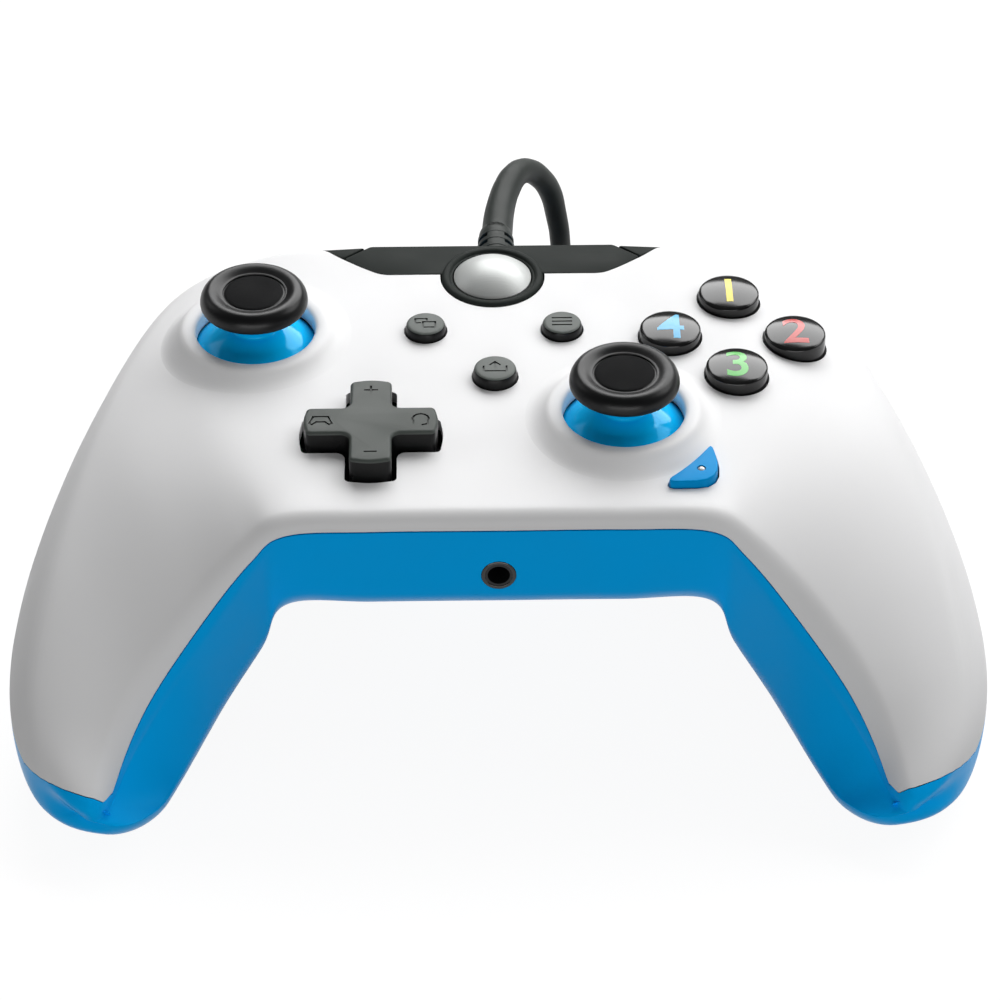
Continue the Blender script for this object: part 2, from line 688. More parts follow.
@dataclass
class Layout:
    """Places and levels that the pieces share, in millimetres."""

    face: float = 48.6
    wall: float = 2.0
    carve_reach: float = 12.0
    button_gap: float = 0.2
    key_gap: float = 0.25
    cross_gap: float = 0.8
    function_gap: float = 0.3
    bumper_gap: float = 0.3
    left_stick: tuple[float, float] = (-40, 23.5)
    right_stick: tuple[float, float] = (20.8, 0)
    well: float = 10.0
    cluster: tuple[float, float] = (40, 21.4)
    reach: float = 10.5
    button: float = 5.25
    small: float = 3.4
    share: float = 3.65
    dpad: tuple[float, float] = (-20.4, -4.1)
    dpad_half: float = 10.9
    dpad_arm: float = 3.4
    guide: tuple[float, float] = (0, 39.1)
    ring: float = 8.7
    strip_half: float = 21.0
    strip_back: float = 48.5
    strip_front: float = 40.0
    bridge_low: float = 44.4
    bridge_top: float = 49.1
    bumper_z: tuple[float, float] = (35.0, 44.0)
    bumper_t: tuple[float, float] = (1.02, 2.8)
    posts: tuple = ((17, 34.5, 24.2), (-17, 34.5, 24.2), (61, -27, 9.0), (-61, -27, 9.0))
    outlet: tuple[float, float] = (1, 38.5)
    jack_z: float = 35.2
    bar: float = -24.3

    @property
    def sticks(self) -> dict[str, tuple[float, float]]:
        """Middle of each thumbstick."""
        return {"left": self.left_stick, "right": self.right_stick}

    @property
    def buttons(self) -> dict[str, tuple[float, float]]:
        """Middle of each face button."""
        x, y, r = *self.cluster, self.reach
        return {"north": (x, y + r), "east": (x + r, y), "south": (x, y - r), "west": (x - r, y)}

    @property
    def small_buttons(self) -> dict[str, tuple[float, float, float]]:
        """Middle and radius of each small button."""
        return {"view": (-11.45, 23.8, self.small), "menu": (11.45, 23.8, self.small),
                "share": (0, 11.1, self.share)}

    @property
    def corner(self) -> tuple[float, float]:
        """Outer corner of the strip's slanted end."""
        return self.strip_half + 5, self.strip_back - 3.7

    @property
    def side(self) -> tuple[float, float]:
        """Lower corner of the strip's slanted end."""
        return self.strip_half + 1, self.strip_back - 6.8

    @property
    def horn(self) -> tuple[float, float]:
        """Outer end of the notch in the front shell."""
        return self.strip_half + 10.8, self.strip_back + 1.7

    def strip(self, slit: float = 0.5, seam: float = 0.25) -> list[tuple[float, float]]:
        """Outline of the dark strip at the back edge."""
        right = [(self.strip_half, self.strip_back), (self.corner[0] - slit, self.corner[1]),
                 (self.side[0] - seam, self.side[1]), (self.side[0] - 3, self.strip_front)]
        right = self._soft(right, (0.5, 0.6, 1.5, 1.5))
        return right + [(-x, y) for x, y in reversed(right)]

    def notch(self) -> list[tuple[float, float]]:
        """Outline of what the strip and the bumpers' wedges take from the front shell."""
        right = [(self.horn[0], self.horn[1] + 20), self.horn, self.corner, self.side,
                 (self.side[0] - 3, self.strip_front - 0.25)]
        right = right[:1] + self._soft(right[1:], (0.0, 0.6, 1.5, 1.5))
        return right + [(-x, y) for x, y in reversed(right)]

    @staticmethod
    def _soft(chain: Flat, sizes: Sequence[float], steps: int = 6) -> list[tuple[float, float]]:
        """Round the corners of an open chain.

        Args:
            chain: The corners. The last one runs on to its mirror image.
            sizes: How far from each corner its bend starts.
            steps: Points of each bend.

        Returns:
            The softened chain.
        """
        out = []
        for k, (corner, size) in enumerate(zip(chain, sizes)):
            here = np.array(corner)
            behind = np.array(chain[k - 1]) if k > 0 else here + (-1, 0)
            ahead = np.array(chain[k + 1]) if k + 1 < len(chain) else here + (-1, 0)
            if size == 0:
                out.append(tuple(corner))
                continue
            start = here + size * (behind - here) / np.linalg.norm(behind - here)
            end = here + size * (ahead - here) / np.linalg.norm(ahead - here)
            for q in np.linspace(0, 1, steps):
                out.append(tuple((1 - q) ** 2 * start + 2 * q * (1 - q) * here + q * q * end))
        return out

    def cross(self, grow: float, sag: float = 0.45) -> list[tuple[float, float]]:
        """Outline of the cross pad, with bowed ends and filleted inner corners.

        Args:
            grow: How far the outline stands off the pad.
            sag: How far an arm's end bows out.

        Returns:
            The corners, anticlockwise.
        """
        half, arm, corner, fillet = self.dpad_half + grow, self.dpad_arm + grow, 0.9, 1.5
        one = [(arm + fillet, -arm)]
        end = half - corner - 0.79 * sag
        for a in np.radians(np.linspace(-90, 0, 6)):
            one.append((end + corner * math.cos(a), -arm + corner + corner * math.sin(a)))
        for k in np.linspace(-0.65, 0.65, 7):
            one.append((half - sag * (k / 0.9) ** 2, k * (arm - 0.3)))
        for a in np.radians(np.linspace(0, 90, 6)):
            one.append((end + corner * math.cos(a), arm - corner + corner * math.sin(a)))
        for a in np.radians(np.linspace(270, 180, 8)):
            one.append((arm + fillet + fillet * math.cos(a), arm + fillet + fillet * math.sin(a)))
        points = []
        for quarter in range(4):
            c, s = (1, 0, -1, 0)[quarter], (0, 1, 0, -1)[quarter]
            points += [(self.dpad[0] + c * x - s * y, self.dpad[1] + s * x + c * y) for x, y in one[:-1]]
        return points

    def function(self, grow: float) -> list[tuple[float, float]]:
        """Outline of the function key: a triangle with a hollow long side."""
        x0, y0 = self.right_stick
        hull = [(13.35, -8.65), (13.6, -8.4), (13.85, -8.42), (14.05, -8.75), (14.22, -9.6), (14.45, -11),
                (14.6, -12.8), (14.5, -14.6), (13.9, -16.1), (12.7, -17.2), (11, -17.6), (8.6, -17.72),
                (7.3, -17.72), (6.8, -17.52), (6.6, -17.12), (6.74, -16.66)]
        far = 38
        mid = (10.4 - 0.77 * far, -12.8 + 0.64 * far)
        a0 = math.atan2(-16.2 - mid[1], 7.1 - mid[0])
        a1 = math.atan2(-9.0 - mid[1], 13.1 - mid[0])
        arc = [(mid[0] + far * math.cos(a), mid[1] + far * math.sin(a)) for a in np.linspace(a0, a1, 14)]
        ring = arc + hull
        centre = np.mean(ring, axis=0)
        grown = []
        for k, (x, y) in enumerate(ring):
            ahead, behind = ring[(k + 1) % len(ring)], ring[k - 1]
            way = np.array([ahead[1] - behind[1], behind[0] - ahead[0]])
            way = way / np.linalg.norm(way)
            if way @ (np.array([x, y]) - centre) < 0:
                way = -way
            grown.append((x0 + x + grow * way[0], y0 + y + grow * way[1]))
        return grown

    def bumper_room(self, form: BodyForm, side: int) -> list[tuple[float, float]]:
        """Outline of the room that a bumper moves in."""
        ts = np.linspace(self.bumper_t[0] - 0.03, self.bumper_t[1] + 0.05, 16)
        ring = [form.back_line(t, 6) for t in ts] + [form.back_line(t, -5.6) for t in ts[::-1]]
        return [(side * x, y) for x, y in ring]


@dataclass
class Shells:
    """White front shell with its stick collars, and blue rear shell with the belly."""

    form: BodyForm
    plan: Layout
    looks: Looks
    half_rows: int = 112
    tip_rows: int = 16
    knee: float = 0.86
    bay: tuple[float, float] = (23.6, 49.4)
    belly_half: float = 20.0
    belly_y: tuple[float, float] = (16.0, 35.0)
    belly_round: float = 5.0

    def build(self) -> None:
        """Make and deliver both shells."""
        front = self._front_skin()
        collars = [self._collar(front, side) for side in self.plan.sticks]
        self._thicken(front)
        Shop.carve(front, self._front_tools())
        front = Shop.joined([front] + collars)
        Shop.deliver(front, self.looks["white_shell"], "shell", "white_shell", "front_shell", angle=50)
        rear = self._thicken(self._rear_skin())
        Shop.carve(rear, self._rear_tools())
        rear = Shop.joined([rear, self._belly()] + self._wells())
        Shop.deliver(rear, self.looks["blue_plastic"], "shell", "blue_plastic", "rear_shell", angle=50)

    def _grid(self, name: str, rows: int, columns: int) -> tuple[bpy.types.Object, np.ndarray, np.ndarray]:
        """Lay out a grid and tell the row and column of each of its points."""
        sheet = Shop.sheet(name, rows, columns)
        points = np.empty(len(sheet.data.vertices) * 3)
        sheet.data.vertices.foreach_get("co", points)
        points = points.reshape(-1, 3)
        row = np.rint((points[:, 0] + 1) / 2 * rows).astype(int)
        column = np.rint((points[:, 1] + 1) / 2 * columns).astype(int)
        return sheet, row, column

    def _along(self, share: np.ndarray, end: np.ndarray) -> np.ndarray:
        """Place along the body for a share of the way to the end line."""
        bent = 6 + (end - 6) * (share - self.knee) / (1 - self.knee)
        return np.where(share < self.knee, 6 * share / self.knee, bent)

    def _front_skin(self) -> bpy.types.Object:
        """Lay the front shell's sheet over the body."""
        form, half = self.form, self.half_rows
        sheet, row, column = self._grid("front_shell_skin", 2 * half, form.across)
        share = np.abs(row - half) / half
        v = np.copysign(self._along(share, form.white_end(column / form.across)), row - half + 0.1)
        skin = form.point(form.upper, v, column)
        Shop.moved(sheet, lambda points: skin)
        return self._outward(sheet, Vector((0, 0, 1)))

    def _rear_skin(self) -> bpy.types.Object:
        """Lay the rear shell's sheet under the body and over the grips' tips."""
        form, half, more = self.form, self.half_rows, self.tip_rows
        total = form.across + form.under
        sheet, row, column = self._grid("rear_shell_skin", 2 * (half + more), total)
        away = np.abs(row - half - more)
        on_top = (column > 0) & (column < form.across)
        w = np.clip(column / form.across, 0, 1)
        k = np.clip(column - form.across, 0, form.under) / form.under
        ends = form.white_end(np.array([0.0, 1.0]))
        end = np.where(on_top, form.white_end(w), ends[1] + (ends[0] - ends[1]) * k) + 0.02
        end = np.where(column == 0, ends[0] + 0.02, end)
        v = np.where(away <= half, self._along(np.minimum(away, half) / half, end),
                     end + (8 - end) * (away - half) / more)
        v = np.copysign(v, row - half - more + 0.1)
        below = np.where(column == 0, form.under, np.clip(column - form.across, 0, form.under))
        under = form.point(form.lower, v, below)
        over = form.point(form.upper, v, np.clip(column, 0, form.across))
        skin = np.where(on_top[:, None], over, under)
        Shop.moved(sheet, lambda points: skin)
        drop = []
        for face in sheet.data.polygons:
            corners = list(face.vertices)
            drop.append(column[corners].max() <= form.across and away[corners].max() <= half)
        sheet.data.polygons.foreach_set("select", drop)
        Shop.hold(sheet)
        bpy.context.tool_settings.mesh_select_mode = (False, False, True)
        bpy.ops.object.mode_set(mode="EDIT")
        bpy.ops.mesh.delete(type="FACE")
        bpy.context.tool_settings.mesh_select_mode = (True, False, False)
        return self._outward(sheet, Vector((0, 0, -1)))

    def _outward(self, sheet: bpy.types.Object, way: Vector) -> bpy.types.Object:
        """Merge a sheet's doubles and make it face a given way near the middle."""
        Shop.tidy(sheet)
        near = [f for f in sheet.data.polygons
                if abs(f.center.x) < 0.008 and abs(f.center.y - 0.012) < 0.008]
        if sum(f.normal.dot(way) for f in near) < 0:
            Shop.flipped(sheet)
        return sheet

    def _thicken(self, sheet: bpy.types.Object) -> bpy.types.Object:
        """Give a sheet the shells' wall, inwards."""
        return Shop.applied(sheet, "SOLIDIFY", thickness=self.plan.wall * MM, offset=-1, use_rim=True)

    def _collar(self, skin: bpy.types.Object, side: str) -> bpy.types.Object:
        """Turn the collar of a stick's opening, with a foot that runs out on the shell."""
        plan = self.plan
        x0, y0 = plan.sticks[side]
        r = plan.well
        profile = [(0, -1.4), (0, 0.7), (0.08, 1.06), (0.3, 1.34), (0.8, 1.53), (1.6, 1.6),
                   (2.1, 1.57), (2.4, 1.48), (2.7, 1.31), (2.95, 1.1), (3.2, 0.88), (3.6, 0.6),
                   (4.1, 0.36), (4.7, 0.18), (5.3, 0.07), (5.9, 0.015), (6.4, -0.03), (6.4, -1.0),
                   (1.2, -1.4), (0, -1.4)]
        ring = Shop.turned(f"{side}_collar", shifted(profile, r, 0), (x0, y0), steps=128)
        bpy.context.view_layer.update()
        middle = skin.ray_cast(Vector((x0, y0, 90)) * MM, Vector((0, 0, -1)))[1].z / MM

        def settle(points: np.ndarray) -> np.ndarray:
            """Set each point above the shell's skin, level towards the opening."""
            out = points.copy()
            for k, (x, y, h) in enumerate(points):
                reach = math.hypot(x - x0, y - y0)
                hit, spot, _, _ = skin.ray_cast(Vector((x, y, 90)) * MM, Vector((0, 0, -1)))
                ground = spot.z / MM if hit else middle
                level = min(1, max(0, (reach - r - 2.0) / 4))
                level = level * level * (3 - 2 * level)
                out[k, 2] = h + plan.face + 0.15 + (ground - plan.face - 0.15) * level
            return out

        Shop.moved(ring, settle)
        low, high = plan.face - plan.carve_reach, plan.face + plan.carve_reach
        if side == "right":
            hole = plan.button + plan.button_gap
            for name in ("west", "south"):
                Shop.carve(ring, [Shop.rod("hole", hole, low, high, plan.buttons[name])])
            Shop.carve(ring, [Shop.plate("hole", plan.function(plan.function_gap), low, high)])
        return ring

    def _front_tools(self) -> list[bpy.types.Object]:
        """Cutters for all openings of the front shell."""
        plan = self.plan
        low, high = plan.face - plan.carve_reach, plan.face + plan.carve_reach
        tools = [Shop.rod("well", plan.well + 1.0, low, high, at) for at in plan.sticks.values()]
        hole = plan.button + plan.button_gap
        tools += [Shop.rod("hole", hole, low, high, at) for at in plan.buttons.values()]
        for x, y, r in plan.small_buttons.values():
            tools.append(Shop.rod("hole", r + plan.key_gap, low, high, (x, y)))
        tools.append(Shop.rod("hole", plan.ring + plan.key_gap, low, high, plan.guide, steps=96))
        tools.append(Shop.plate("hole", plan.cross(plan.cross_gap), low, high))
        tools.append(Shop.plate("hole", plan.function(plan.function_gap), low, high))
        tools.append(Shop.plate("hole", plan.notch(), low - 25, high))
        return tools + self._bumper_rooms()

    def _bumper_rooms(self) -> list[bpy.types.Object]:
        """Cutters for the two rooms that the bumpers move in."""
        plan = self.plan
        low, high = plan.bumper_z[0] - plan.bumper_gap, plan.bumper_z[1] + plan.bumper_gap
        return [Shop.plate("room", plan.bumper_room(self.form, s), low, high) for s in (-1, 1)]

    def _rear_tools(self) -> list[bpy.types.Object]:
        """Cutters for all openings of the rear shell."""
        plan = self.plan
        tools = self._bumper_rooms()
        bay_top = plan.bumper_z[0] - 0.2
        for s in (-1, 1):
            x0, x1 = sorted(s * x for x in self.bay)
            tools.append(Shop.block("bay", (x0, 41.4, -1), (x1, 60, bay_top)))
        tools.append(Shop.block("top", (-plan.horn[0], 40, plan.bridge_low - 0.25), (plan.horn[0], 60, 90)))
        tools.append(Shop.rod("gland", 3.2, 40, 60, plan.outlet, Axis.Y))
        tools.append(Shop.rod("jack", 2.85, plan.bar - 4, plan.bar + 6, (0, plan.jack_z), Axis.Y))
        tools += [Shop.rod("screw", 2.7, -2, top, (x, y)) for x, y, top in plan.posts]
        return tools

    def _belly(self) -> bpy.types.Object:
        """Shape the rounded belly that carries the flat foot."""
        rings = ((0.0, -1.2), (0.25, -0.55), (0.7, -0.15), (1.4, 0.1), (10.5, 4.0))

        def ring(grow: float) -> list[tuple[float, float]]:
            """Rounded outline of the belly, grown on all sides."""
            half, (front, back) = self.belly_half + grow, self.belly_y
            return rounded_box((-half, front - grow), (half, back + 0.6 * grow), self.belly_round, 13)

        belly = Shop.plate("belly", ring(rings[0][1]), rings[0][0], rings[1][0])
        for (z0, _), (z1, grow) in zip(rings, rings[1:]):
            if z1 > rings[1][0]:
                Shop.edit(belly)
                bpy.ops.mesh.select_all(action="DESELECT")
                Shop.rest()
                for face in belly.data.polygons:
                    face.select = face.normal.z > 0.9 and face.center.z > (z0 - 0.01) * MM
                Shop.hold(belly)
                bpy.context.tool_settings.mesh_select_mode = (False, False, True)
                bpy.ops.object.mode_set(mode="EDIT")
                bpy.ops.mesh.extrude_region_move(TRANSFORM_OT_translate={"value": (0, 0, (z1 - z0) * MM)})
                bpy.context.tool_settings.mesh_select_mode = (True, False, False)
                Shop.rest()
            top = [v for v in belly.data.vertices if v.co.z > (z1 - 0.01) * MM]
            goal = ring(grow)
            for vertex in top:
                turn = self._turn(vertex.co / MM)
                near = min(goal, key=lambda spot: (self._turn(spot) - turn) ** 2)
                vertex.co.x, vertex.co.y = near[0] * MM, near[1] * MM
        return Shop.tidy(belly)

    def _turn(self, spot: Sequence[float]) -> float:
        """Angle of a point round the middle of the belly."""
        return math.atan2(spot[1] - sum(self.belly_y) / 2, spot[0])

    def _wells(self) -> list[bpy.types.Object]:
        """Turn the tubes that hold the case screws' heads."""
        wells = []
        for x, y, top in self.plan.posts:
            foot = 0.6 if abs(x) < 40 else 1.6
            roof = top + 3
            profile = [(2.7, foot), (4, foot + 1), (4, roof), (1.3, roof), (1.3, top), (2.7, top),
                       (2.7, foot)]
            wells.append(Shop.turned("screw_well", profile, (x, y), steps=48))
        return wells


@dataclass
class Thumbstick:
    """Rubber cap on a blue stem whose dome closes the opening."""

    side: str
    at: tuple[float, float]
    looks: Looks
    face: float = 48.6
    pivot: float = 36.2
    dome: float = 14.7

    def build(self) -> None:
        """Make and deliver cap and stem."""
        body = f"{self.side}_stick"
        z = self.face
        rim = [(5.62, 8.86), (5.95, 9.02), (6.3, 9.18), (6.7, 9.31), (7.1, 9.38), (7.4, 9.37),
               (7.75, 9.26), (8.1, 9.04), (8.4, 8.74), (8.66, 8.36), (8.86, 7.9), (8.97, 7.4),
               (9.0, 7.0), (8.95, 6.66), (8.8, 6.4), (8.5, 6.2), (8.0, 6.03), (7.3, 5.9), (6.4, 5.76),
               (5.4, 5.6), (4.6, 5.5), (0, 5.45)]
        ring = [(4.98, 8.56), (5.12, 8.56), (5.2, 8.76), (5.34, 8.82), (5.5, 8.82)]
        disc = [(0, 8.82), (1.5, 8.82), (3, 8.81), (4.2, 8.78), (4.7, 8.74), (4.86, 8.68), (4.94, 8.58)]
        cap = Shop.turned(f"{self.side}_cap", shifted(disc + ring + rim, 0, z), self.at, steps=144)
        Shop.deliver(cap, self.looks["cap_rubber"], body, "cap_rubber", f"{self.side}_stick_cap")
        self._grain(cap)
        arc = self._arc(self.dome, range(17, 62, 2))
        back = self._arc(self.dome - 1, range(60, -1, -6))
        neck = [(0, 5.6), (4.9, 5.6), (4.92, 5.2), (4.75, 4.6), (4.45, 3.95), (4.15, 3.35),
                (3.9, 2.8), (3.75, 2.35), (3.74, 2.05), (3.85, 1.82), (4.05, 1.7)]
        stem = Shop.turned(f"{self.side}_stem", shifted(neck, 0, z) + arc + back, self.at, steps=120)
        Shop.deliver(stem, self.looks["stem_blue"], body, "blue_plastic", f"{self.side}_stick_stem",
                     angle=50)

    def _arc(self, r: float, degrees: range) -> list[tuple[float, float]]:
        """Points of an arc round the pivot, at these angles from the stem."""
        return [(r * math.sin(a), self.pivot + r * math.cos(a)) for a in np.radians(degrees)]

    def _grain(self, cap: bpy.types.Object) -> None:
        """Give the middle of the cap its coarser grain."""
        cap.data.materials.append(self.looks["cap_grain"])
        for face in cap.data.polygons:
            reach = math.hypot(face.center.x / MM - self.at[0], face.center.y / MM - self.at[1])
            face.material_index = int(reach < 4.8 and face.normal.z > 0.5)


@dataclass
class Strokes:
    """Engraved lines: short bars that follow chains of points."""

    width: float
    low: float
    high: float

    def bars(self, chains: Sequence[Flat], at: tuple[float, float],
             size: float = 1.0) -> list[bpy.types.Object]:
        """Saw one bar for each stretch of the chains.

        Args:
            chains: Chains of points round a middle.
            at: Where that middle lies, in millimetres.
            size: Scale of the chains.

        Returns:
            The bars, as carving tools.
        """
        made = []
        for chain in chains:
            for (x0, y0), (x1, y1) in zip(chain, chain[1:]):
                a = Vector((at[0] + size * x0, at[1] + size * y0))
                b = Vector((at[0] + size * x1, at[1] + size * y1))
                way = (b - a).normalized() * self.width / 2
                side = Vector((-way.y, way.x))
                ring = [a - way - side, b + way - side, b + way + side, a - way + side]
                made.append(Shop.plate("bar", [tuple(p) for p in ring], self.low, self.high))
        return made


@dataclass
class PushButtons:
    """Four domed face buttons with numbers, and three small buttons with engraved signs."""

    plan: Layout
    looks: Looks
    top: float = 2.75
    crown: float = 0.75
    wide: float = 5.12
    drops: dict = field(default_factory=lambda: {"north": 0.2, "east": 1.2, "south": 0.2, "west": 0.0})
    prints: dict = field(default_factory=lambda: {
        "north": ("1", "print_yellow"), "east": ("2", "print_red"),
        "south": ("3", "print_green"), "west": ("4", "print_blue")})

    def build(self) -> None:
        """Make and deliver all seven buttons."""
        for name, at in self.plan.buttons.items():
            self._domed(name, at)
        signs = {"view": self._view(), "menu": self._menu(), "share": self._share()}
        for name, (x, y, r) in self.plan.small_buttons.items():
            self._flat(name, (x, y), r, signs[name])

    def _domed(self, name: str, at: tuple[float, float]) -> None:
        """Turn a face button and lay its number on the dome."""
        r, top = self.wide, self.plan.face + self.top - self.drops[name]
        ball = (r * r + self.crown ** 2) / (2 * self.crown)
        angles = np.linspace(0, math.asin((r - 0.36) / ball), 14)
        crown = [(ball * math.sin(a), top - ball + ball * math.cos(a)) for a in angles]
        z = crown[-1][1]
        side = [(-0.2, -0.08), (-0.08, -0.18), (-0.02, -0.32), (0, -0.5), (0, -3), (0, -6.2), (-r, -6.2)]
        knob = Shop.turned(f"{name}_knob", crown + shifted(side, r, z), at, steps=112)
        body = f"button_{name}_body"
        Shop.deliver(knob, self.looks["black_gloss"], body, "black_gloss", f"button_{name}")
        sign, ink = self.prints[name]
        Shop.rest()
        bpy.ops.object.text_add(location=(0, 0, 0))
        label = bpy.context.active_object
        label.name = f"{name}_number"
        label.data.body = sign
        label.data.size = 9.2 * MM
        label.data.offset = 0.12 * MM
        label.data.extrude = 0.02 * MM
        label.data.align_x = "CENTER"
        label.data.align_y = "CENTER"
        bpy.ops.object.convert(target="MESH")
        label.data.name = label.name
        Shop.tidy(label)
        Shop.edit(label)
        bpy.ops.mesh.quads_convert_to_tris()
        bpy.ops.mesh.subdivide(number_cuts=3)
        Shop.rest()

        def lay(points: np.ndarray) -> np.ndarray:
            """Centre the number and bend it over the dome."""
            flat = points.copy()
            flat[:, :2] -= (points[:, :2].min(0) + points[:, :2].max(0)) / 2
            bend = np.sqrt(ball ** 2 - (flat[:, :2] ** 2).sum(1)) - ball
            flat[:, 2] = top + bend + points[:, 2] + 0.012
            flat[:, 0] += at[0]
            flat[:, 1] += at[1]
            return flat

        Shop.moved(label, lay)
        Shop.deliver(label, self.looks[ink], body, "black_gloss")

    def _flat(self, name: str, at: tuple[float, float], r: float, sign: Sequence[Flat]) -> None:
        """Turn a small button and engrave its sign."""
        top = self.plan.face + 1.9
        profile = [(-r, 0), (-0.75, -0.02), (-0.45, -0.08), (-0.25, -0.22), (-0.14, -0.45), (-0.06, -0.9),
                   (0, -1.5), (0, -5.5), (-r, -5.5)]
        knob = Shop.turned(f"{name}_key", shifted(profile, r, top), at, steps=80)
        Shop.carve(knob, Strokes(0.3, top - 0.28, top + 1).bars(sign, at))
        Shop.deliver(knob, self.looks["key_side"], f"{name}_body", "dark_plastic", f"{name}_button")
        Shop.topped(knob, self.looks["key_grey"], top - 0.5)

    @staticmethod
    def _view() -> list[Flat]:
        """Two windows, one behind the other."""
        return [[(-0.5, 1.25), (-1.75, 1.25), (-1.75, 0.1), (-0.9, 0.1)],
                [(-0.5, 1.25), (0.2, 1.25), (0.2, 0.85)],
                [(-0.45, 0.35), (1.6, 0.35), (1.6, -1.15), (-0.45, -1.15), (-0.45, 0.35)]]

    @staticmethod
    def _menu() -> list[Flat]:
        """Three bars."""
        return [[(-1.55, y), (1.55, y)] for y in (-0.85, 0.15, 1.15)]

    @staticmethod
    def _share() -> list[Flat]:
        """A tray with an arrow that points up."""
        return [[(-1.9, 0.35), (-1.9, -0.95), (1.9, -0.95), (1.9, 0.35)],
                [(-0.8, 0.75), (0, 1.6), (0.8, 0.75)],
                [(0, 1.5), (0, -0.1)]]


@dataclass
class CrossPad:
    """Cross-shaped pad with rolled edges and engraved signs."""

    plan: Layout
    looks: Looks
    top: float = 2.9

    def build(self) -> None:
        """Make and deliver the pad."""
        z = self.plan.face + self.top
        pad = Shop.plate("cross_pad_top", self.plan.cross(0), self.plan.face - 6, z)
        Shop.round_off(pad, 0.55, 5, 60, clamp=False)
        Shop.carve(pad, Strokes(0.32, z - 0.3, z + 1).bars(self._signs(), self.plan.dpad))
        skirt = Shop.rod("skirt", 11.2, z - 8.4, z - 7, self.plan.dpad, steps=96)
        pad = Shop.joined([pad, skirt])
        Shop.deliver(pad, self.looks["key_side"], "cross_pad", "dark_plastic", "dpad")
        Shop.topped(pad, self.looks["pad_grey"], z - 0.6, 0.15)

    @staticmethod
    def _signs() -> list[Flat]:
        """Plus, minus, a small pad and a headset."""
        plus = [[(-1, 8), (1, 8)], [(0, 7), (0, 9)]]
        minus = [[(-0.9, -8.4), (0.9, -8.4)]]
        pad = [[(-9.3, 0.9), (-6.9, 0.9), (-6.3, -0.9), (-6.7, -1.2), (-7.4, -0.5), (-8.8, -0.5),
                (-9.5, -1.2), (-9.9, -0.9), (-9.3, 0.9)]]
        turn = np.radians(np.linspace(200, -20, 9))
        arch = [(8.1 + 1.3 * math.cos(a), 0.1 + 1.3 * math.sin(a)) for a in turn]
        headset = [arch, [(6.9, -0.3), (6.9, -1.2)], [(9.3, -0.3), (9.3, -1.2)], [(9.3, -1.2), (8.4, -1.5)]]
        return plus + minus + pad + headset


